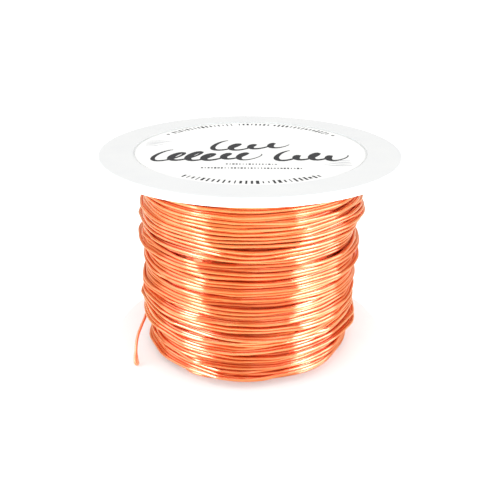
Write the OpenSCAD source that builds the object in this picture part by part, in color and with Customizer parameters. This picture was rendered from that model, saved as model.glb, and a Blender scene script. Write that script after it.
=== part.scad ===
// Small plastic spool of bare copper wire: two snap-on flanges on a core tube, a paper
// label over the upper hole, and the wound wire with its two ends.
// Upright on its lower flange, axis on Z, origin at the centre of the lower rim's base.

/* [Flanges] */
// Outer diameter of both flanges
flange_d = 50; // [42:1:80]
// Thickness of each flange at its rim
flange_t = 1.4; // [1:0.1:3]
// Radius of the rounded edges of the rim
rim_edge_r = 0.3; // [0.1:0.05:0.45]
// Depth of the label recess in each outer face
recess_depth = 0.3; // [0.1:0.05:0.5]

/* [Core] */
// Clear width between the flanges, which the winding fills
traverse_w = 33.5; // [26:0.5:80]
// Outer diameter of the core tube
core_d = 18; // [15:0.5:26]
// Wall of the core tube
core_wall = 1.5; // [1:0.1:1.8]
// Diameter of the hole for a spindle
spindle_d = 10; // [6:0.5:12]
// Chamfer at the mouth of the spindle hole
spindle_chamfer = 0.3; // [0.1:0.05:0.4]

/* [Snap fit] */
// Length of the spigot that each flange pushes into the core tube
spigot_len = 8; // [6:0.5:10]
// Radial clearance between spigot and core tube
spigot_clearance = 0.05; // [0.02:0.01:0.15]
// Height of the snap bead on the spigot
bead_h = 0.25; // [0.15:0.05:0.4]
// Width of the snap bead along the axis
bead_w = 1.2; // [0.8:0.1:2]
// Distance from the flange's inner face to the middle of the bead
bead_pos = 5; // [2:0.5:5]

/* [Label] */
// Diameter of the paper label
label_d = 38; // [24:0.5:38]
// Thickness of the paper label
label_t = 0.15; // [0.08:0.01:0.25]
// Gap all round between the label and its recess
label_gap = 0.35; // [0.1:0.05:0.6]

/* [Wire] */
// Diameter of the wire
wire_d = 0.5; // [0.3:0.05:0.8]
// Outer diameter of the winding
winding_d = 37; // [30:0.5:40]
// Radius of the winding's rounded shoulders
shoulder_r = 3; // [1:0.25:5]
// Diameter of the hole in the core tube that holds the wire's inner end
start_hole_d = 1.2; // [1:0.1:2]
// Distance from the spigot's end to that hole
start_hole_gap = 2; // [1:0.25:4]
// Direction of that hole, seen from above
start_hole_angle = 250; // [0:5:355]

/* [Hidden] */

// Facets of round parts, of small rings and of the wire
fine_fn = 128;
edge_fn = 48;
wire_sides = 8;

// Overlap of a cutting shape past the face that it cuts
cut = 0.1;
// Gap between the wire's inner end and the winding that it comes from
start_gap = 0.05;

plastic = "white";
paper = "whitesmoke";
copper = "peru";

total_h = traverse_w + 2 * flange_t;
flange_r = flange_d / 2;
core_r = core_d / 2;
core_inner_r = core_r - core_wall;
spigot_r = core_inner_r - spigot_clearance;
spindle_r = spindle_d / 2;
recess_r = label_d / 2 + label_gap;
winding_r = winding_d / 2;
wire_r = wire_d / 2;
start_hole_z = flange_t + spigot_len + start_hole_gap;

// The wire's inner end, as [degrees past the hole, gap between wire and tube wall, rise].
// It comes in through the hole, turns and lies against the inside of the tube.
start_route = [
    [0, -0.75, 0],
    [2, 0.2, 0],
    [9, 0.85, 0.1],
    [18, 0.85, 0.3],
    [28, 0.55, 0.5],
    [39, 0.25, 0.7],
    [50, 0.05, 0.9],
    [61, 0.05, 1.1],
    [72, 0.05, 1.3],
    [83, 0.05, 1.5],
];

// The wire's free outer end, as [angle, gap to the winding, gap to the lower flange].
// It lies on the winding, leaves it at the left, and comes forward and down until its
// tip rests on the flange.
tail_route = [
    [125, 0.05, 6.0],
    [132, 0.05, 5.9],
    [139, 0.05, 5.8],
    [146, 0.05, 5.7],
    [153, 0.05, 5.6],
    [160, 0.05, 5.5],
    [167, 0.05, 5.35],
    [174, 0.05, 5.2],
    [181, 0.05, 5.0],
    [187, 0.1, 4.8],
    [192, 0.4, 4.55],
    [196, 1.0, 4.15],
    [199.5, 1.7, 3.65],
    [203, 2.45, 3.05],
    [206.5, 3.1, 2.3],
    [209.5, 3.6, 1.45],
    [212, 3.85, 0.6],
    [213, 3.9, 0.05],
];

// A ring of half-width w and height h on radius r, as a triangle in the r-z half plane
module bead_profile(r, z, w, h) {
    polygon([[r, z - w], [r + h, z], [r, z + w]]);
}

// Section through a flange, outer face down: a disc with a recess and rounded rim edges,
// and a spigot with a lead-in cone and a snap bead
module flange_profile() {
    edge_x = flange_r - rim_edge_r;
    difference() {
        union() {
            translate([spindle_r, 0])
                square([edge_x - spindle_r, flange_t]);
            translate([edge_x - cut, rim_edge_r])
                square([rim_edge_r + cut, flange_t - 2 * rim_edge_r]);
            for (z = [rim_edge_r, flange_t - rim_edge_r])
                translate([edge_x, z])
                    circle(r = rim_edge_r, $fn = edge_fn);
        }
        translate([spindle_r - cut, -cut])
            square([recess_r - spindle_r + cut, recess_depth + cut]);
        bead_profile(
            spindle_r - cut,
            recess_depth,
            spindle_chamfer + cut,
            spindle_chamfer + cut
        );
    }
    spigot_profile();
}

// Section through the spigot, from inside the disc to its chamfered end
module spigot_profile() {
    end_z = flange_t + spigot_len;
    lead = min(2 * bead_h, (spigot_r - spindle_r) / 2);
    root_z = flange_t - cut;
    polygon([
        [spindle_r, root_z],
        [spigot_r, root_z],
        [spigot_r, end_z - lead],
        [spigot_r - lead, end_z],
        [spindle_r, end_z],
    ]);
    bead_profile(spigot_r, flange_t + bead_pos, bead_w / 2, bead_h);
}

module flange() {
    color(plastic)
        rotate_extrude($fn = fine_fn)
            flange_profile();
}

module lower_flange() {
    flange();
}

module upper_flange() {
    translate([0, 0, total_h])
        mirror([0, 0, 1])
            flange();
}

// The tube between the flanges, with a groove for each bead and the wire's start hole
module core_tube() {
    groove_w = bead_w / 2 + spigot_clearance;
    color(plastic)
        difference() {
            rotate_extrude($fn = fine_fn)
                difference() {
                    translate([core_inner_r, flange_t])
                        square([core_wall, traverse_w]);
                    for (z = [flange_t + bead_pos, total_h - flange_t - bead_pos])
                        bead_profile(core_inner_r, z, groove_w, bead_h);
                }
            rotate([0, 0, start_hole_angle])
                translate([core_r - core_wall / 2, 0, start_hole_z])
                    rotate([0, 90, 0])
                        cylinder(d = start_hole_d, h = 2 * core_wall, center = true, $fn = edge_fn);
        }
}

// Paper disc on the floor of the upper recess
module top_label() {
    color(paper)
        translate([0, 0, total_h - recess_depth])
            cylinder(d = label_d, h = label_t, $fn = fine_fn);
}

// Closed outer shape of all the turns, with rounded shoulders at both flanges
module wire_winding() {
    shoulder_x = winding_r - shoulder_r;
    color(copper)
        rotate_extrude($fn = fine_fn) {
            translate([core_r, flange_t])
                square([shoulder_x - core_r, traverse_w]);
            translate([core_r, flange_t + shoulder_r])
                square([winding_r - core_r, traverse_w - 2 * shoulder_r]);
            for (z = [flange_t + shoulder_r, total_h - flange_t - shoulder_r])
                translate([shoulder_x, z])
                    circle(r = shoulder_r, $fn = fine_fn);
        }
}

// A point from its angle, radius and height
function around(angle, r, z) = [r * cos(angle), r * sin(angle), z];

function unit(v) = v / norm(v);

// Halfway between b and c on a smooth curve through a, b, c and d
function between(a, b, c, d) = (9 * (b + c) - a - d) / 16;

// A route with one more smooth point in the middle of each of its steps
function smoothed(p) =
    let (last = len(p) - 1)
    [
        for (i = [0 : last - 1])
            each [
                p[i],
                between(p[max(i - 1, 0)], p[i], p[i + 1], p[min(i + 2, last)]),
            ],
        p[last],
    ];

// Direction of travel at point i of a route
function heading(p, i) = unit(p[min(i + 1, len(p) - 1)] - p[max(i - 1, 0)]);

// One closed tube with flat ends, swept along a route that never runs straight up or down
module wire_tube(route) {
    rings = len(route);
    points = [
        for (i = [0 : rings - 1])
            let (
                ahead = heading(route, i),
                side = unit(cross(ahead, [0, 0, 1])),
                up = cross(side, ahead)
            )
            for (k = [0 : wire_sides - 1])
                let (a = 360 * k / wire_sides)
                route[i] + wire_r * (cos(a) * side + sin(a) * up)
    ];
    walls = [
        for (i = [0 : rings - 2], k = [0 : wire_sides - 1])
            let (
                next = (k + 1) % wire_sides,
                low = i * wire_sides,
                high = low + wire_sides
            )
            each [
                [low + k, high + k, high + next],
                [low + k, high + next, low + next],
            ]
    ];
    first_end = [for (k = [0 : wire_sides - 1]) k];
    last_end = [for (k = [wire_sides - 1 : -1 : 0]) (rings - 1) * wire_sides + k];
    polyhedron(points = points, faces = concat(walls, [first_end], [last_end]));
}

// The wire's inner end, from the winding through the hole to the inside of the core tube
module wire_start() {
    first = around(start_hole_angle, core_r - start_gap, start_hole_z);
    route = [
        for (p = start_route)
            around(
                start_hole_angle + p[0],
                core_inner_r - wire_r - p[1],
                start_hole_z + p[2]
            )
    ];
    color(copper)
        wire_tube(concat([first], route));
}

// The wire's free outer end
module wire_tail() {
    route = [
        for (p = tail_route)
            around(p[0], winding_r + wire_r + p[1], flange_t + wire_r + p[2])
    ];
    color(copper)
        wire_tube(smoothed(route));
}

lower_flange();
core_tube();
upper_flange();
top_label();
wire_winding();
wire_start();
wire_tail();
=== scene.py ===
"""Looks of a small plastic spool of bare copper wire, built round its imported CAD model.

The wire is wound here turn by turn, as a winding machine lays it on a core, so that its
bundles, crossings and gaps are real ones. Lengths are metres, or mm times MM.
"""
import math

import bmesh
import bpy
import numpy as np
from mathutils import Matrix, Quaternion, Vector


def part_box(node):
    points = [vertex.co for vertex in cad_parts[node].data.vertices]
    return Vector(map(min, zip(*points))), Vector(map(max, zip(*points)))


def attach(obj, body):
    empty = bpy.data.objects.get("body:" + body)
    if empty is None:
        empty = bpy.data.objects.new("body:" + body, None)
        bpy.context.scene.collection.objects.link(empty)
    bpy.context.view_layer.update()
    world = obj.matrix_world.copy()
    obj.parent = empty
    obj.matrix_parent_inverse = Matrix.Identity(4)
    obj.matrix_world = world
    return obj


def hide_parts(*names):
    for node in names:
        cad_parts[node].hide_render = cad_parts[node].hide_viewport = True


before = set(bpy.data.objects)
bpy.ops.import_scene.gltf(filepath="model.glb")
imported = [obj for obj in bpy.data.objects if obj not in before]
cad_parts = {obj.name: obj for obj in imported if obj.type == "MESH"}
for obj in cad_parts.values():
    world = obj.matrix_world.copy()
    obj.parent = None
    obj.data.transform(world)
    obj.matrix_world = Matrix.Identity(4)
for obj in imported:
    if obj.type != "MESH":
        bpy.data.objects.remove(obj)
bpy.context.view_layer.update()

MM = 0.001
ROOT = "root"

# Sizes from the CAD nodes
winding_low, winding_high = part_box("wire_winding")
WINDING_R = winding_high.x
LOW = winding_low.z
HIGH = winding_high.z
FLANGE_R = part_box("lower_flange")[1].x
CORE_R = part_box("core_tube")[1].x
LABEL_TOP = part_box("top_label")[1].z
WIRE_R = 0.25 * MM


def colour(hex_code):
    """A linear colour with alpha from an sRGB hex value."""
    channels = [int(hex_code[i:i + 2], 16) / 255 for i in (0, 2, 4)]
    linear = [c / 12.92 if c <= 0.04045 else ((c + 0.055) / 1.055) ** 2.4 for c in channels]
    return linear + [1.0]


def per(size_mm):
    """The texture scale that gives a pattern of that size."""
    return 1 / (size_mm * MM)


def add_node(tree, kind, fields=None, inputs=None):
    """One node of a tree, with its fields set and its inputs given values or linked."""
    node = tree.nodes.new(kind)
    for name, value in (fields or {}).items():
        setattr(node, name, value)
    for name, value in (inputs or {}).items():
        socket = node.inputs[name]
        if isinstance(value, bpy.types.NodeSocket):
            tree.links.new(value, socket)
        else:
            socket.default_value = value
    return node


def new_finish(name):
    """A new material: itself, its tree, its shader's inputs and the place on the piece."""
    material = bpy.data.materials.new(name)
    material.use_nodes = True
    tree = material.node_tree
    shader = tree.nodes["Principled BSDF"].inputs
    place = add_node(tree, "ShaderNodeTexCoord").outputs["Object"]
    return material, tree, shader, place


def join_finish(tree, shader, base, rough, bump):
    """Links a finish's colour, roughness and bump to its shader."""
    tree.links.new(base, shader["Base Color"])
    tree.links.new(rough, shader["Roughness"])
    tree.links.new(bump, shader["Normal"])


def closed_piece(name, verts, faces, finish):
    """A plain piece from its corners and faces, with every face turned outwards."""
    mesh = bpy.data.meshes.new(name)
    mesh.from_pydata(verts, [], faces)
    shape = bmesh.new()
    shape.from_mesh(mesh)
    bmesh.ops.recalc_face_normals(shape, faces=shape.faces)
    shape.to_mesh(mesh)
    shape.free()
    mesh.materials.append(finish)
    piece = bpy.data.objects.new(name, mesh)
    bpy.context.scene.collection.objects.link(piece)
    return piece


# ---- Camera ---------------------------------------------------------------------------

CAMERA_AT = Vector((0.24, -106.0, 65.06)) * MM
CAMERA_TILT = math.radians(24.16)
CAMERA_ROLL = 0.0073    # radians
CAMERA_LENS = 46.6      # mm, for a sensor 36 mm wide

camera_data = bpy.data.cameras.new("camera")
camera_data.lens = CAMERA_LENS
camera_data.sensor_width = 36
camera_data.clip_start = 0.005
camera_data.clip_end = 20
camera = bpy.data.objects.new("camera", camera_data)
camera.matrix_world = (
    Matrix.Translation(CAMERA_AT)
    @ Matrix.Rotation(math.pi / 2 - CAMERA_TILT, 4, "X")
    @ Matrix.Rotation(CAMERA_ROLL, 4, "Z")
)
bpy.context.scene.collection.objects.link(camera)
bpy.context.scene.camera = camera


# ---- Wire: materials and sweep --------------------------------------------------------

def copper_finish(name, bright, worn, roughness, spread):
    """Bare copper wire, drawn through a die and annealed.

    It gives the eye a warm mirror whose highlights the fine die lines spread round the
    wire but not along it, and a redder, duller film of handling tarnish in soft patches.
    The spread is 1 for turns wound round the axis, and 0 for wire that runs any other way.
    """
    material, tree, shader, place = new_finish(name)
    along = add_node(tree, "ShaderNodeAttribute", {"attribute_name": "along"}).outputs["Fac"]
    round_it = add_node(tree, "ShaderNodeAttribute", {"attribute_name": "round"}).outputs["Fac"]
    tint = add_node(tree, "ShaderNodeAttribute", {"attribute_name": "tint"}).outputs["Fac"]

    # Tarnish in patches of about 5 mm, each turn a little different from the next
    patches = add_node(tree, "ShaderNodeTexNoise", None, {
        "Vector": place, "Scale": per(5), "Detail": 3.0, "Roughness": 0.6,
    }).outputs["Fac"]
    film = add_node(tree, "ShaderNodeMath", {"operation": "MULTIPLY_ADD"}, {
        0: tint, 1: 0.45, 2: patches,
    }).outputs[0]
    film = add_node(tree, "ShaderNodeMapRange", None, {
        "Value": film, "From Min": 0.45, "From Max": 1.05, "To Min": 0.0, "To Max": 1.0,
    }).outputs[0]
    base = add_node(tree, "ShaderNodeMix", {"data_type": "RGBA"}, {
        0: film, 6: colour(bright), 7: colour(worn),
    }).outputs[2]

    # Die lines run along the wire, 16 round it and some 8 mm long, and each turn has its
    # own. Real ones are finer.
    lines_at = add_node(tree, "ShaderNodeCombineXYZ", None, {
        "X": add_node(tree, "ShaderNodeMath", {"operation": "MULTIPLY"}, {
            0: round_it, 1: 16.0}).outputs[0],
        "Y": add_node(tree, "ShaderNodeMath", {"operation": "MULTIPLY"}, {
            0: along, 1: per(8)}).outputs[0],
        "Z": add_node(tree, "ShaderNodeMath", {"operation": "MULTIPLY"}, {
            0: tint, 1: 50.0}).outputs[0],
    }).outputs[0]
    lines = add_node(tree, "ShaderNodeTexNoise", None, {
        "Vector": lines_at, "Scale": 1.0, "Detail": 2.0, "Roughness": 0.5,
    }).outputs["Fac"]
    dull = add_node(tree, "ShaderNodeMath", {"operation": "MULTIPLY_ADD"}, {
        0: film, 1: 0.10, 2: roughness,
    }).outputs[0]
    rough = add_node(tree, "ShaderNodeMath", {"operation": "MULTIPLY_ADD"}, {
        0: lines, 1: 0.08, 2: dull,
    }).outputs[0]
    bump = add_node(tree, "ShaderNodeBump", None, {
        "Strength": 0.08, "Distance": 0.02 * MM, "Height": lines,
    }).outputs[0]
    # The wire runs round the spool's axis, and the die lines with it
    run = add_node(tree, "ShaderNodeVectorMath", {"operation": "CROSS_PRODUCT"}, {
        0: (0.0, 0.0, 1.0), 1: place,
    }).outputs[0]

    shader["Metallic"].default_value = 1.0
    shader["Anisotropic"].default_value = spread
    # A quarter turn, so that highlights spread across the run of the wire
    shader["Anisotropic Rotation"].default_value = 0.25
    tree.links.new(run, shader["Tangent"])
    join_finish(tree, shader, base, rough, bump)
    return material


# For the turns that show, for the body behind them, and for the wire's two ends. The body
# behind takes darker, redder copper as painted shade.
drawn_copper = copper_finish("drawn_copper", "ffa369", "fc8c4e", 0.2, 1.0)
shaded_copper = copper_finish("shaded_copper", "ff9856", "f57f40", 0.3, 1.0)
# The wire's ends take a slightly paler copper, a painted lighter tone, and a rougher surface.
handled_copper_painted_paler = copper_finish("handled_copper_painted_paler", "ffa66e", "fc935a", 0.48, 0.0)


def new_tree(name, sockets):
    """An empty Geometry Nodes tree with named inputs, its input node and its output node."""
    tree = bpy.data.node_groups.new(name, "GeometryNodeTree")
    tree.interface.new_socket("Geometry", in_out="OUTPUT", socket_type="NodeSocketGeometry")
    for label, kind in sockets.items():
        tree.interface.new_socket(label, in_out="INPUT", socket_type="NodeSocket" + kind)
    given = add_node(tree, "NodeGroupInput").outputs
    return tree, given, add_node(tree, "NodeGroupOutput")


def finish_tree(tree, result, made, finish):
    """Ends a tree: instances made real, then the material set."""
    real = add_node(tree, "GeometryNodeRealizeInstances", None, {0: made}).outputs[0]
    done = add_node(tree, "GeometryNodeSetMaterial", None, {
        "Geometry": real, "Material": finish,
    }).outputs[0]
    tree.links.new(done, result.inputs[0])


def sweep_tree():
    """Sweeps round wire along the edges of a mesh, and closes each end.

    Along is the distance from the run's start and Round the share of the way round it.
    """
    tree, given, result = new_tree("wire_sweep", {
        "Path": "Geometry", "Radius": "Float", "Sides": "Int", "Finish": "Material",
    })
    path = add_node(tree, "GeometryNodeMeshToCurve", None, {"Mesh": given["Path"]}).outputs[0]
    length = add_node(tree, "GeometryNodeSplineParameter").outputs["Length"]
    path = add_node(tree, "GeometryNodeStoreNamedAttribute", {
        "data_type": "FLOAT", "domain": "POINT"}, {
        "Geometry": path, "Name": "along", "Value": length,
    }).outputs[0]
    section = add_node(tree, "GeometryNodeCurvePrimitiveCircle", {"mode": "RADIUS"}, {
        "Resolution": given["Sides"], "Radius": given["Radius"],
    }).outputs[0]
    share = add_node(tree, "GeometryNodeSplineParameter").outputs["Factor"]
    section = add_node(tree, "GeometryNodeStoreNamedAttribute", {
        "data_type": "FLOAT", "domain": "POINT"}, {
        "Geometry": section, "Name": "round", "Value": share,
    }).outputs[0]
    tube = add_node(tree, "GeometryNodeCurveToMesh", None, {
        "Curve": path, "Profile Curve": section, "Fill Caps": True,
    }).outputs[0]
    smooth = add_node(tree, "GeometryNodeSetShadeSmooth", None, {
        0: tube, "Shade Smooth": True}).outputs[0]
    finish_tree(tree, result, smooth, given["Finish"])
    return tree


def run_tree(tree, paths, name, values):
    """Feeds polylines, as lists of (points, tint), to a tree. The result is a plain object."""
    points = []
    edges = []
    tints = []
    for line, tint in paths:
        first = len(points)
        points.extend(line)
        edges.extend((first + i, first + i + 1) for i in range(len(line) - 1))
        tints.extend([tint] * len(line))
    mesh = bpy.data.meshes.new(name + "_path")
    mesh.from_pydata(points, edges, [])
    mesh.attributes.new("tint", "FLOAT", "POINT").data.foreach_set("value", tints)
    carrier = bpy.data.objects.new(name + "_path", mesh)
    bpy.context.scene.collection.objects.link(carrier)
    modifier = carrier.modifiers.new(tree.name, "NODES")
    modifier.node_group = tree
    for socket in tree.interface.items_tree:
        if socket.in_out == "INPUT" and socket.name in values:
            modifier[socket.identifier] = values[socket.name]
    graph = bpy.context.evaluated_depsgraph_get()
    made = bpy.data.meshes.new_from_object(
        carrier.evaluated_get(graph), preserve_all_data_layers=True, depsgraph=graph
    )
    bpy.data.objects.remove(carrier)
    made.name = name
    piece = bpy.data.objects.new(name, made)
    bpy.context.scene.collection.objects.link(piece)
    return piece


def belongs(piece, slot, *nodes):
    """The piece rides on the spool and stands for CAD nodes, which are hidden. The slot is not
    used.
    """
    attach(piece, ROOT)
    if nodes:
        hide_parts(*nodes)


wire_sweep = sweep_tree()


# ---- The wire's free end --------------------------------------------------------------

# The route of the CAD tail: angle in degrees, then mm to the winding and to the flange
TAIL_ROUTE = [
    (125, 0.05, 6.0), (132, 0.05, 5.9), (139, 0.05, 5.8), (146, 0.05, 5.7),
    (153, 0.05, 5.6), (160, 0.05, 5.5), (167, 0.05, 5.35), (174, 0.05, 5.2),
    (181, 0.05, 5.0), (187, 0.1, 4.8), (192, 0.4, 4.55), (196, 1.0, 4.15),
    (199.5, 1.7, 3.65), (203, 2.45, 3.05), (206.5, 3.1, 2.3), (209.5, 3.6, 1.45),
    (212, 3.85, 0.6), (213, 3.9, 0.05),
]


def around(angle, r, z):
    """A point from its angle in degrees, its radius and its height."""
    a = math.radians(angle)
    return Vector((r * math.cos(a), r * math.sin(a), z))


def smoothed(route):
    """The route with one more point in the middle of each step, on a smooth curve."""
    last = len(route) - 1
    points = []
    for i in range(last):
        before, after = route[max(i - 1, 0)], route[min(i + 2, last)]
        points.append(route[i])
        points.append((9 * (route[i] + route[i + 1]) - before - after) / 16)
    return points + [route[last]]


tail_line = smoothed(smoothed([
    around(angle, WINDING_R + WIRE_R + out * MM, LOW + WIRE_R + up * MM)
    for angle, out, up in TAIL_ROUTE
]))
wire_tail = run_tree(wire_sweep, [(tail_line, 0.2)], "free_wire_end", {
    "Radius": WIRE_R, "Sides": 16, "Finish": handled_copper_painted_paler,
})

# Its last 2 mm are folded back beside it, to the left
FOLD_STEPS = [(0, 0, 0), (-0.2, -0.14, 0.04), (-0.4, -0.1, 0.3), (-0.47, 0.25, 0.75),
              (-0.49, 0.75, 1.2), (-0.46, 1.25, 1.6)]
fold_line = smoothed(smoothed([tail_line[-1] + Vector(step) * MM for step in FOLD_STEPS]))
wire_fold = run_tree(wire_sweep, [(fold_line, 0.3)], "folded_tip", {
    "Radius": WIRE_R, "Sides": 16, "Finish": handled_copper_painted_paler,
})
belongs(wire_tail, "bare_copper", "wire_tail")
belongs(wire_fold, "bare_copper")


# ---- Winding --------------------------------------------------------------------------

STEPS = 144          # points in one turn
BIN = 0.05           # height of one row of the surface map, mm
PLAY = 0.02          # least room between a flange and the copper, mm
SLIDE = 14           # points over which the wire slips sideways together
SLIP = 0.02          # how readily it slips, mm for a slope of 1
SLIPS = 10           # small slips that settle a turn
PULLS = 50           # small pulls that tighten a turn
MEAN_R = 17.9        # radius at which the spool is full, mm
END_STEP = 50        # the tail starts at this point of the last turn
JOIN_STEP = 14       # the last turn begins to bend towards the tail at this point

# The guide lays bundles of turns close together, with one longer step between bundles
BUNDLE = (3, 11)     # fewest turns in a bundle, and one more than the most
CLOSE_STEP = 0.56    # travel of the guide in one turn of a bundle, mm
LONG_STEP = (0.7, 1.4)
LAST_STEP = 0.6
UNEVEN = (0.85, 1.15)    # share of a step that is really made
LOOK = 30            # rows to each side over which the level is judged
HASTE = 0.9          # how much faster the guide passes a place that is 1 mm too full
HASTE_LIMITS = (0.6, 1.8)
END_BELOW = 0.6      # the winding stops with the guide this near above the tail's start, mm
END_ABOVE = 0.5      # or this near below it

# The guide wanders in slow waves: their periods in turns, and their sizes in mm
WANDER_PERIODS = [0.61, 0.93, 1.47, 2.9, 5.3]
WANDER_SIZES = [0.015, 0.03, 0.08, 0.14, 0.14]
CALM = 2.5           # nearer than this to a flange it wanders less, mm

# The winding thins towards each flange: mm thinner beside it, and mm over which it thins
MIDDLE_RISE = 0.1
THIN_LOW = (0.8, 3)
THIN_HIGH = (0.7, 6)
# Where the wire piled up or fell short: mm above the flange, mm out, half width in mm
PILES = [(3.6, 0.05, 1.3), (6.4, -0.1, 1.2), (10.5, 0.12, 2.2), (15.9, -0.12, 0.9),
         (19.3, 0.25, 1.7), (22.3, -0.25, 1.0), (25.0, 0.15, 1.4)]


def blurred(row, width):
    """The values smoothed along the last axis by a bell of that width, ends held."""
    reach = int(3 * width) + 1
    bell = np.exp(-0.5 * (np.arange(-reach, reach + 1) / width) ** 2)
    bell /= bell.sum()
    held = np.concatenate([
        np.repeat(row[..., :1], reach, -1), row, np.repeat(row[..., -1:], reach, -1)
    ], -1)
    count = row.shape[-1]
    return sum(weight * held[..., i:i + count] for i, weight in enumerate(bell))


def fullness(low, high):
    """How far the full winding stands from its mean radius, at mm from each flange."""
    rise = MIDDLE_RISE
    for from_flange, (thinner, reach) in [(low, THIN_LOW), (high, THIN_HIGH)]:
        rise -= thinner * max(0.0, 1 - from_flange / reach) ** 2
    for at, out, width in PILES:
        rise += out * math.exp(-((low - at) / width) ** 2)
    return rise


def waves(rng, periods, sizes):
    """A slow wander made of waves, as a function of turns."""
    phases = rng.uniform(0, 2 * math.pi, len(periods))
    return lambda t: sum(
        size * np.sin(2 * math.pi * t / period + phase)
        for period, size, phase in zip(periods, sizes, phases)
    )


class Winding:
    """Wire laid on a core under tension. All its lengths are mm."""

    def __init__(self, core_r, wire_r, low, high, rng):
        self.wire_r = wire_r
        self.low = low
        self.high = high
        self.lowest = low + wire_r + PLAY
        self.highest = high - wire_r - PLAY
        self.rows = np.arange(low, high + BIN / 2, BIN)
        # Radius at which the middle of a new wire would rest, for each height and angle
        self.rest = np.full((len(self.rows), STEPS), core_r + wire_r)
        self.steps = np.arange(STEPS)
        self.rng = rng
        self.wander = waves(rng, WANDER_PERIODS, WANDER_SIZES)
        self.shift = 0.0
        self.last_u = [1 / (core_r + wire_r)] * 2
        self.z_turns = []
        self.r_turns = []

    def rest_at(self, z):
        """Resting radius at a height for each step of the turn."""
        row = np.clip((z - self.low) / BIN, 0, len(self.rows) - 1.001)
        i = row.astype(int)
        part = row - i
        return self.rest[i, self.steps] * (1 - part) + self.rest[i + 1, self.steps] * part

    def settle(self, guide):
        """Lets the wire slip sideways off the crests below it, from where it came in."""
        ramp = np.clip(self.steps / (2 * SLIDE), 0, 1)
        ramp = ramp * ramp * (3 - 2 * ramp)
        z = np.clip(guide + self.shift * (1 - ramp), self.lowest, self.highest)
        for _ in range(SLIPS):
            slope = (self.rest_at(z + BIN) - self.rest_at(z - BIN)) / (2 * BIN)
            z = np.clip(z - SLIP * ramp * blurred(slope, SLIDE / 2), self.lowest, self.highest)
        self.shift = z[-1] - guide[-1]
        return z

    def tighten(self, z):
        """Pulls the turn straight between the crests that hold it up."""
        most = 1 / self.rest_at(z)
        u = most.copy()
        chord = 2 * math.cos(2 * math.pi / STEPS)
        for _ in range(PULLS):
            behind = np.concatenate([[self.last_u[1]], u[:-1]])
            ahead = np.concatenate([u[1:], u[-1:]])
            u = np.minimum(most, (behind + ahead) / chord)
        self.last_u = [u[-2], u[-1]]
        return 1 / u

    def raise_surface(self, z, r):
        """Adds a laid turn to the surface map."""
        d = 2 * self.wire_r
        middle = np.round((z - self.low) / BIN).astype(int)
        reach = int(round(d / BIN))
        for o in range(-reach, reach + 1):
            i = middle + o
            inside = (i >= 0) & (i < len(self.rows))
            i, k = i[inside], self.steps[inside]
            dz = self.rows[i] - z[inside]
            top = r[inside] + np.sqrt(np.clip(d * d - dz * dz, 0, None))
            top = np.where(np.abs(dz) < d, top, 0)
            self.rest[i, k] = np.maximum(self.rest[i, k], top)

    def lay(self, start_z, end_z):
        """Winds one turn with the guide going from one height to another."""
        t = self.steps / STEPS
        turn = len(self.z_turns)
        guide = start_z + (end_z - start_z) * t
        room = np.minimum(guide - self.lowest, self.highest - guide)
        guide = guide + self.wander(turn + t) * np.clip(room / CALM, 0, 1)
        z = self.settle(np.clip(guide, self.lowest, self.highest))
        r = self.tighten(z)
        self.raise_surface(z, r)
        self.z_turns.append(z)
        self.r_turns.append(r)

    def fill(self, mean_r, end_z):
        """Winds to and fro until the spool is full, and stops near a height going down."""
        at, way, left = self.lowest, 1, 0
        while True:
            if left <= 0:
                left = self.rng.integers(*BUNDLE)
                pitch = self.rng.uniform(*LONG_STEP)
            else:
                pitch = CLOSE_STEP
            left -= 1
            middle = int(np.clip((at - self.low) / BIN, 0, len(self.rows) - 1))
            here = self.rest[max(0, middle - LOOK):middle + LOOK + 1].mean()
            wanted = self.rest.mean() + fullness(at - self.low, self.high - at)
            haste = np.clip(1 + HASTE * (here - wanted), *HASTE_LIMITS)
            to = at + way * pitch * self.rng.uniform(*UNEVEN) * haste
            if to > self.highest:
                to, way, left = self.highest, -1, 0
            if to < self.lowest:
                to, way, left = self.lowest, 1, 0
            full = self.rest.mean() - self.wire_r > mean_r
            if full and way < 0 and at - END_BELOW < end_z < at + END_ABOVE:
                return at
            self.lay(at, to)
            at = to


winding = Winding(
    CORE_R / MM, WIRE_R / MM, LOW / MM, HIGH / MM, np.random.default_rng(4)
)
guide_at = winding.fill(MEAN_R, tail_line[0].z / MM)

# The last part turn runs up to the start of the tail and joins it
winding.lay(guide_at, guide_at - LAST_STEP)
z_last = winding.z_turns[-1][:END_STEP + 1]
r_last = winding.r_turns[-1][:END_STEP + 1]
join = np.clip((np.arange(END_STEP + 1) - JOIN_STEP) / (END_STEP - JOIN_STEP), 0, 1)
join = join * join * (3 - 2 * join)
z_last = z_last * (1 - join) + tail_line[0].z / MM * join
r_last = r_last * (1 - join) + np.hypot(tail_line[0].x, tail_line[0].y) / MM * join

z_wire = np.concatenate([*winding.z_turns[:-1], z_last])
r_wire = np.concatenate([*winding.r_turns[:-1], r_last])
step_no = np.arange(len(z_wire))
angle_wire = step_no * 2 * math.pi / STEPS
wire_points = np.stack([
    r_wire * np.cos(angle_wire), r_wire * np.sin(angle_wire), z_wire
], 1) * MM

# Only the turns near the surface are built. Those below are one inner body.
SHOW_DEPTH = 1.7     # from where one more turn would lie to the deepest turn built, mm
BANDS = ["copper_turns_low", "copper_turns_middle", "copper_turns_high"]
FEWEST_STEPS = 3     # a shorter stretch of wire is left out
row = np.clip(np.round((z_wire - winding.low) / BIN).astype(int), 0, len(winding.rows) - 1)
depth = winding.rest[row, step_no % STEPS] - r_wire
depth[-END_STEP:] = 0
shown = depth < SHOW_DEPTH
share = (z_wire - winding.low) / (winding.high - winding.low)
band = np.clip((share * len(BANDS)).astype(int), 0, len(BANDS) - 1)
turn_tint = np.random.default_rng(11).uniform(0, 1, len(z_wire) // STEPS + 2)


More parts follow.
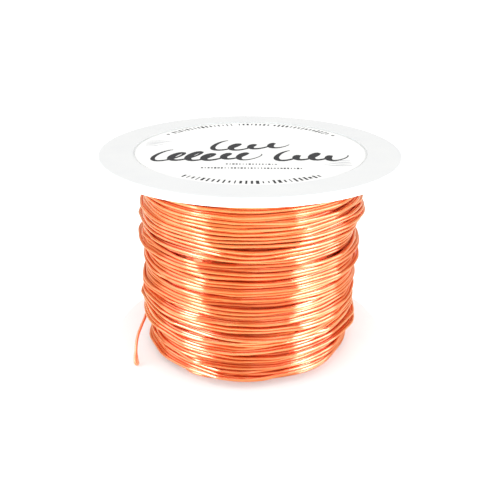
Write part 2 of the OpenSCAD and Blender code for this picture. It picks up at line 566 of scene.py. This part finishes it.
def visible_runs(number):
    """The stretches of shown wire in one band of the winding's height, cut at each turn."""
    runs = []
    start = None
    wanted = shown & (band == number)
    for i in range(len(z_wire) + 1):
        on = i < len(z_wire) and wanted[i]
        if on and start is None:
            start = i
        elif not on and start is not None:
            first, last = max(0, start - 1), min(len(z_wire) - 1, i)
            if last - first >= FEWEST_STEPS:
                runs.append((wire_points[first:last + 1].tolist(), turn_tint[start // STEPS]))
            start = None
    return runs


turn_pieces = []
for number, name in enumerate(BANDS):
    piece = run_tree(wire_sweep, visible_runs(number), name, {
        "Radius": WIRE_R, "Sides": 8, "Finish": drawn_copper,
    })
    belongs(piece, "bare_copper", "wire_winding")
    turn_pieces.append(piece)


INNER_GAP = 0.1      # how far the inner body stays below the deepest turn's middle, mm
ROW_STEP = 9         # rows and points of the map that one face of the inner body spans
COLUMN_STEP = 2
EDGE_ROWS = 6        # rows left out beside each flange


def inner_layers():
    """The closed body of the turns below the shown ones, following the surface map."""
    # Smoothed by a bell of 3 points round the spool, then of 8 rows along it
    level = blurred(blurred(winding.rest, 3).T, 8).T - SHOW_DEPTH - INNER_GAP
    rows = np.arange(EDGE_ROWS, len(winding.rows) - EDGE_ROWS, ROW_STEP)
    columns = range(0, STEPS, COLUMN_STEP)
    core = CORE_R / MM
    verts = []
    for k in columns:
        a = k * 2 * math.pi / STEPS
        ring = [(core, winding.low + PLAY)]
        ring += [(level[i, k], winding.rows[i]) for i in rows]
        ring += [(core, winding.high - PLAY)]
        verts.extend((r * math.cos(a) * MM, r * math.sin(a) * MM, z * MM) for r, z in ring)
    size = len(rows) + 2
    count = len(columns)
    faces = []
    for k in range(count):
        n = (k + 1) % count
        for i in range(size):
            j = (i + 1) % size
            faces.append((k * size + i, n * size + i, n * size + j, k * size + j))
    piece = closed_piece("copper_inner_layers", verts, faces, shaded_copper)
    belongs(piece, "bare_copper", "wire_winding")
    return piece


copper_inner = inner_layers()


# ---- Spool ----------------------------------------------------------------------------

def polystyrene_finish():
    """Injection-moulded high-impact polystyrene.

    It gives the eye a clean cool white with a soft gloss, faint flow ripple and light
    scuffs where the rims rub.
    """
    material, tree, shader, place = new_finish("moulded_polystyrene")
    ripple = add_node(tree, "ShaderNodeTexNoise", None, {
        "Vector": place, "Scale": per(6), "Detail": 2.0}).outputs["Fac"]
    grain = add_node(tree, "ShaderNodeTexNoise", None, {
        "Vector": place, "Scale": per(0.3), "Detail": 3.0}).outputs["Fac"]
    base = add_node(tree, "ShaderNodeMix", {"data_type": "RGBA"}, {
        0: ripple, 6: colour("f1f1ef"), 7: colour("e8e9ea")}).outputs[2]
    # Scuffs: fine scratches that thicken in the outer 3 mm of the flanges
    apart = add_node(tree, "ShaderNodeSeparateXYZ", None, {0: place}).outputs
    flat = add_node(tree, "ShaderNodeCombineXYZ", None, {0: apart[0], 1: apart[1]}).outputs[0]
    from_axis = add_node(tree, "ShaderNodeVectorMath", {"operation": "LENGTH"}, {
        0: flat}).outputs["Value"]
    edge = add_node(tree, "ShaderNodeMapRange", None, {
        "Value": from_axis, "From Min": FLANGE_R - 3 * MM, "From Max": FLANGE_R,
        "To Min": 0.15, "To Max": 1.0}).outputs[0]
    scratch = add_node(tree, "ShaderNodeTexVoronoi", {"feature": "DISTANCE_TO_EDGE"}, {
        "Vector": place, "Scale": per(1.6)}).outputs["Distance"]
    scratch = add_node(tree, "ShaderNodeMapRange", None, {
        "Value": scratch, "From Min": 0.0, "From Max": 0.03, "To Min": 1.0, "To Max": 0.0,
    }).outputs[0]
    wear = add_node(tree, "ShaderNodeMath", {"operation": "MULTIPLY"}, {
        0: edge, 1: scratch}).outputs[0]
    rough = add_node(tree, "ShaderNodeMath", {"operation": "MULTIPLY_ADD"}, {
        0: wear, 1: 0.25, 2: 0.38}).outputs[0]
    rough = add_node(tree, "ShaderNodeMath", {"operation": "MULTIPLY_ADD"}, {
        0: grain, 1: 0.1, 2: rough}).outputs[0]
    height = add_node(tree, "ShaderNodeMath", {"operation": "MULTIPLY_ADD"}, {
        0: ripple, 1: 3.0, 2: grain}).outputs[0]
    bump = add_node(tree, "ShaderNodeBump", None, {
        "Strength": 0.15, "Distance": 0.03 * MM, "Height": height}).outputs[0]
    join_finish(tree, shader, base, rough, bump)
    shader["Specular IOR Level"].default_value = 0.35
    return material


def paper_finish():
    """Coated label paper: bright, nearly matt, with a faint fibre mottle."""
    material, tree, shader, place = new_finish("coated_paper")
    fibre = add_node(tree, "ShaderNodeTexNoise", None, {
        "Vector": place, "Scale": per(0.35), "Detail": 4.0, "Distortion": 0.8}).outputs["Fac"]
    cloud = add_node(tree, "ShaderNodeTexNoise", None, {
        "Vector": place, "Scale": per(3), "Detail": 2.0}).outputs["Fac"]
    base = add_node(tree, "ShaderNodeMix", {"data_type": "RGBA"}, {
        0: cloud, 6: colour("fbfbf9"), 7: colour("f4f4f2")}).outputs[2]
    rough = add_node(tree, "ShaderNodeMath", {"operation": "MULTIPLY_ADD"}, {
        0: fibre, 1: 0.2, 2: 0.62}).outputs[0]
    bump = add_node(tree, "ShaderNodeBump", None, {
        "Strength": 0.2, "Distance": 0.01 * MM, "Height": fibre}).outputs[0]
    join_finish(tree, shader, base, rough, bump)
    shader["Specular IOR Level"].default_value = 0.2
    return material


polystyrene = polystyrene_finish()
label_paper = paper_finish()
for node, material in [("lower_flange", polystyrene), ("upper_flange", polystyrene),
                       ("core_tube", polystyrene), ("top_label", label_paper),
                       ("wire_start", handled_copper_painted_paler)]:
    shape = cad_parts[node]
    shape.data.materials.clear()
    shape.data.materials.append(material)


# ---- Print on the label ---------------------------------------------------------------

def ink_finish(name, dense, thin):
    """Printing ink on coated paper: an even dry film, thinner in streaks where it starved."""
    material, tree, shader, place = new_finish(name)
    streaks = add_node(tree, "ShaderNodeTexNoise", None, {
        "Vector": place, "Scale": per(0.5), "Detail": 3.0, "Distortion": 0.4}).outputs["Fac"]
    base = add_node(tree, "ShaderNodeMix", {"data_type": "RGBA"}, {
        0: streaks, 6: colour(dense), 7: colour(thin)}).outputs[2]
    rough = add_node(tree, "ShaderNodeMath", {"operation": "MULTIPLY_ADD"}, {
        0: streaks, 1: 0.2, 2: 0.6}).outputs[0]
    bump = add_node(tree, "ShaderNodeBump", None, {
        "Strength": 0.2, "Distance": 0.01 * MM, "Height": streaks}).outputs[0]
    join_finish(tree, shader, base, rough, bump)
    shader["Specular IOR Level"].default_value = 0.2
    return material


black_ink = ink_finish("black_ink", "2c2c2e", "4e4e50")
grey_ink = ink_finish("grey_ink", "b4b4b8", "cfcfd2")
INK_Z = LABEL_TOP + 0.005 * MM
INK_T = 0.02 * MM
INK_RISE = 0.0001 * MM   # each point of a stroke lies this much over the one before


def marks_tree():
    """Sets small printed bars of mixed width and height along a path."""
    tree, given, result = new_tree("printed_marks", {
        "Path": "Geometry", "Spacing": "Float", "Narrow": "Float", "Wide": "Float",
        "Short": "Float", "Tall": "Float", "Thickness": "Float", "Seed": "Int",
        "Finish": "Material",
    })
    path = add_node(tree, "GeometryNodeMeshToCurve", None, {"Mesh": given["Path"]}).outputs[0]
    points = add_node(tree, "GeometryNodeCurveToPoints", {"mode": "LENGTH"}, {
        "Curve": path, "Length": given["Spacing"]}).outputs
    turned = add_node(tree, "FunctionNodeAlignRotationToVector", {
        "axis": "X", "pivot_axis": "Z"}, {"Vector": points["Tangent"]}).outputs[0]
    width = add_node(tree, "FunctionNodeRandomValue", {"data_type": "FLOAT"}, {
        2: given["Narrow"], 3: given["Wide"], "Seed": given["Seed"]}).outputs[1]
    other_seed = add_node(tree, "ShaderNodeMath", {"operation": "ADD"}, {
        0: given["Seed"], 1: 1.0}).outputs[0]
    height = add_node(tree, "FunctionNodeRandomValue", {"data_type": "FLOAT"}, {
        2: given["Short"], 3: given["Tall"], "Seed": other_seed}).outputs[1]
    size = add_node(tree, "ShaderNodeCombineXYZ", None, {
        0: width, 1: height, 2: given["Thickness"]}).outputs[0]
    bar = add_node(tree, "GeometryNodeMeshCube", None, {"Size": (1.0, 1.0, 1.0)}).outputs[0]
    bars = add_node(tree, "GeometryNodeInstanceOnPoints", None, {
        "Points": points["Points"], "Instance": bar, "Rotation": turned, "Scale": size,
    }).outputs[0]
    finish_tree(tree, result, bars, given["Finish"])
    return tree


def arc(radius, start, end):
    """Points on the label round its centre, from one angle to another in degrees."""
    count = max(2, int(abs(end - start) / 2))
    return [
        tuple(around(start + (end - start) * i / count, radius * MM, INK_Z))
        for i in range(count + 1)
    ]


def line(x_start, x_end, y):
    """A straight row across the label, from x to x in mm."""
    return [(x_start * MM, y * MM, INK_Z), (x_end * MM, y * MM, INK_Z)]


def ribbon(mesh_parts, centre_line, half_widths):
    """Adds one closed flat stroke of ink that follows a line and swells as its widths say."""
    verts, faces = mesh_parts
    first = len(verts)
    count = len(centre_line)
    for i, (x, y) in enumerate(centre_line):
        x0, y0 = centre_line[max(i - 1, 0)]
        x1, y1 = centre_line[min(i + 1, count - 1)]
        length = math.hypot(x1 - x0, y1 - y0)
        side = Vector((-(y1 - y0) / length, (x1 - x0) / length)) * half_widths[i]
        for z in (INK_T / 2, -INK_T / 2):
            for way in (1, -1):
                verts.append((
                    (x + way * side.x) * MM, (y + way * side.y) * MM, INK_Z + z + i * INK_RISE,
                ))
    for i in range(count - 1):
        a = first + 4 * i
        b = a + 4
        faces += [(a, a + 1, b + 1, b), (a + 2, b + 2, b + 3, a + 3),
                  (a, b, b + 2, a + 2), (a + 1, a + 3, b + 3, b + 1)]
    end = first + 4 * (count - 1)
    faces += [(first, first + 2, first + 3, first + 1), (end, end + 1, end + 3, end + 2)]


LOOP = 0.5             # width of a stroke's loops for their height
SLANT = 0.45           # lean of the strokes to the right
SWING_POINTS = 20      # points in one loop
FIRST_TOP = 1.35       # height of the first loop, then the range of the others
TOPS = (0.45, 1.0)
FIRST_DROP = 0.1       # rise of the first loop over the row, then the range of the others
DROPS = (-0.45, 0.1)
THINNEST = 0.4         # width of an upward stroke for that of a downward one


def flourish(mesh_parts, x_start, x_end, y, swings, tall, weight, rng):
    """A looped brush stroke across the label: thick on the way down, thin on the way up.

    The first loop is tall and the others reach up or down by chance, as in handwriting.
    """
    count = swings * SWING_POINTS
    tops = rng.uniform(*TOPS, swings + 2)
    tops[0] = FIRST_TOP
    drops = rng.uniform(*DROPS, swings + 2)
    drops[0] = FIRST_DROP
    points = []
    widths = []
    for i in range(count + 1):
        t = i / count
        swing = t * swings
        n = int(min(swing, swings - 1))
        blend = swing - n
        size = tall * (tops[n] * (1 - blend) + tops[n + 1] * blend)
        drop = tall * (drops[n] * (1 - blend) + drops[n + 1] * blend)
        turn = 2 * math.pi * swing
        height = size * math.cos(turn) + drop
        loop = LOOP * size * math.sin(turn)
        points.append((x_start + (x_end - x_start) * t + SLANT * height - loop, y + height))
        falling = 0.5 + 0.5 * math.sin(turn)
        # The brush sets down blunt and lifts off fine
        ends = min(1.0, 6 * t + 0.3, 6 * (1 - t) + 0.15)
        widths.append(weight * (THINNEST + (1 - THINNEST) * falling) * ends)
    ribbon(mesh_parts, points, widths)


# The print is generic: rows of plain marks, wavy brush strokes and grass-like sprigs
RING_R = 17.7        # middle of the two arcs of marks, mm
DOTS = (147, 33)     # where the dots before and after the upper arc lie, degrees
# Where each group of marks begins and ends, degrees. Three make the upper arc.
MARK_GROUPS = [(142, 102), (97, 79), (75, 38), (-123, -55)]

marks = marks_tree()
ring_paths = [(arc(RING_R, start, end), 0) for start, end in MARK_GROUPS]
ring_marks = run_tree(marks, ring_paths, "label_ring_marks", {
    "Spacing": 0.78 * MM, "Narrow": 0.14 * MM, "Wide": 0.48 * MM, "Short": 0.7 * MM,
    "Tall": 1.55 * MM, "Thickness": INK_T, "Seed": 4, "Finish": black_ink,
})
belongs(ring_marks, "label_paper")
row_paths = [(line(-3.6, 4.0, -8.7), 0), (line(-7.3, 7.8, -10.8), 0)]
row_marks = run_tree(marks, row_paths, "label_row_marks", {
    "Spacing": 0.5 * MM, "Narrow": 0.12 * MM, "Wide": 0.36 * MM, "Short": 0.3 * MM,
    "Tall": 0.7 * MM, "Thickness": INK_T, "Seed": 9, "Finish": black_ink,
})
belongs(row_marks, "label_paper")

pen = np.random.default_rng(5)
strokes = ([], [])
for x_start, x_end, y, swings, tall, weight in [
    # Lengths in mm: from, to, row, number of loops, height, half width at the thickest
    (-5.4, 6.2, 2.2, 4, 2.3, 0.58),
    (-14.4, 1.2, -4.2, 6, 2.4, 0.6),
    (5.0, 15.4, -4.2, 4, 2.4, 0.6),
]:
    flourish(strokes, x_start, x_end, y, swings, tall, weight, pen)
for angle in DOTS:
    dot = around(angle, RING_R, 0)
    across = [(dot.x + step, dot.y) for step in (-0.3, 0, 0.3)]
    ribbon(strokes, across, [0.12, 0.3, 0.12])
brush_strokes = closed_piece("label_brush_strokes", *strokes, black_ink)
belongs(brush_strokes, "label_paper")

# Each sprig has a few blades, each longer than the last, that curve as they reach inwards
BLADES = 4
BLADE_REACH = 2.2        # length of the first blade, mm
BLADE_GROWTH = 0.7       # how much longer each next one is, mm
BLADE_GAP = 0.9          # from one blade to the next, mm
BLADE_HALF_WIDTH = 0.14
SHARES = [i / 8 for i in range(9)]
sprigs = ([], [])
for x, y, way in [(-17.8, 2.0, 1), (15.8, -6.3, -1)]:
    for n in range(BLADES):
        reach = BLADE_REACH + BLADE_GROWTH * n
        rise = BLADE_GAP * n
        blade = [
            (x + way * reach * t, y + (rise + 1.2 * t - 1.6 * t * t) * way) for t in SHARES
        ]
        ribbon(sprigs, blade, [
            BLADE_HALF_WIDTH * math.sin(math.pi * (0.1 + 0.85 * t)) for t in SHARES
        ])
grey_sprigs = closed_piece("label_sprigs", *sprigs, grey_ink)
belongs(grey_sprigs, "label_paper")


# ---- Stage and light ------------------------------------------------------------------

FLOOR_REACH = 4.0    # from the middle of the floor to each side, m
FLOOR_GLOW = 0.55
AIR_SEEN = 1.05      # the air's strength to the camera, to matt surfaces and in a mirror
AIR_MATT = 1.14
AIR_MIRRORED = 0.7

floor_mesh = bpy.data.meshes.new("studio_floor")
floor_shape = bmesh.new()
bmesh.ops.create_grid(floor_shape, x_segments=4, y_segments=4, size=FLOOR_REACH)
floor_shape.to_mesh(floor_mesh)
floor_shape.free()
studio_floor = bpy.data.objects.new("studio_floor", floor_mesh)
bpy.context.scene.collection.objects.link(studio_floor)
floor_acrylic = bpy.data.materials.new("lit_acrylic")
floor_acrylic.use_nodes = True
floor_shader = floor_acrylic.node_tree.nodes["Principled BSDF"].inputs
floor_shader["Base Color"].default_value = colour("e7e7e7")
floor_shader["Roughness"].default_value = 0.9
floor_shader["Emission Color"].default_value = (1, 1, 1, 1)
floor_shader["Emission Strength"].default_value = FLOOR_GLOW
floor_mesh.materials.append(floor_acrylic)


BLUISH = (0.72, 1.0, 1.06)
COOL = (0.85, 1.0, 1.9)
STRIP_DISTANCE = 0.5    # m

# The strips light the copper alone, and leave no glare on the white spool
copper_only = bpy.data.collections.new("copper_only")
for piece in [wire_tail, wire_fold, copper_inner, *turn_pieces]:
    copper_only.objects.link(piece)


def softbox(name, azimuth, elevation, distance, width, height, roll, radiance, tone):
    """A soft rectangular light that faces the spool. Azimuth 0 is the camera's side.

    A roll turns it about the line to the spool.
    """
    a, e = math.radians(azimuth), math.radians(elevation)
    away = Vector((math.sin(a) * math.cos(e), -math.cos(a) * math.cos(e), math.sin(e)))
    data = bpy.data.lights.new(name, "AREA")
    data.shape = "RECTANGLE"
    data.size = width
    data.size_y = height
    data.energy = radiance * math.pi * width * height
    data.color = tone
    light = bpy.data.objects.new(name, data)
    light.location = Vector((0, 0, (LOW + HIGH) / 2)) + away * distance
    facing = away.to_track_quat("Z", "Y")
    light.rotation_euler = (facing @ Quaternion((0, 0, 1), math.radians(roll))).to_euler()
    light.visible_camera = False
    bpy.context.scene.collection.objects.link(light)
    return light


# The strips lean back, so that high and low parts of a strip meet the wire at one place
for name, azimuth, elevation, width, height, roll, radiance in [
    # Degrees round the spool, degrees up, then metres wide and high
    ("left_strip", -60, 30, 0.165, 0.8, 24, 7.6),
    ("right_strip", 63, 30, 0.15, 0.8, -24, 7.6),
    ("left_card", -85, 22, 0.28, 0.5, 20, 1.3),
    ("right_card", 85, 22, 0.27, 0.5, -20, 3.4),
    ("front_card", 22, 30, 0.3, 0.5, -10, 0.6),
    ("top_strip", 0, 88, 0.4, 0.3, 0, 5.0),
]:
    strip = softbox(
        name, azimuth, elevation, STRIP_DISTANCE, width, height, roll, radiance, COOL
    )
    strip.light_linking.receiver_collection = copper_only

# Low lights in front brighten the lower flange and the rims, against the red glow that the
# copper throws on them, and do not show in the copper
for side, azimuth in [("left", -62), ("front", 0), ("right", 62)]:
    fill = softbox(
        f"low_{side}_fill", azimuth, elevation=4, distance=0.1, width=0.1, height=0.034,
        roll=0, radiance=6.3, tone=BLUISH,
    )
    fill.visible_glossy = False

# The air is white to the camera, a little brighter as a light on matt surfaces, and dimmer
# in a mirror so that the softboxes stand out in the copper
world = bpy.data.worlds.new("studio_air")
world.use_nodes = True
rays = add_node(world.node_tree, "ShaderNodeLightPath").outputs
lit = add_node(world.node_tree, "ShaderNodeMapRange", None, {
    "Value": rays["Is Glossy Ray"], "To Min": AIR_MATT, "To Max": AIR_MIRRORED}).outputs[0]
strength = add_node(world.node_tree, "ShaderNodeMapRange", None, {
    "Value": rays["Is Camera Ray"], "To Min": lit, "To Max": AIR_SEEN}).outputs[0]
background = world.node_tree.nodes["Background"]
background.inputs["Color"].default_value = (1, 1, 1, 1)
world.node_tree.links.new(strength, background.inputs["Strength"])
bpy.context.scene.world = world
bpy.context.scene.view_settings.view_transform = "Standard"
# Light in the gaps has bounced many times from wire to wire, and is the redder for it
bpy.context.scene.cycles.glossy_bounces = 10
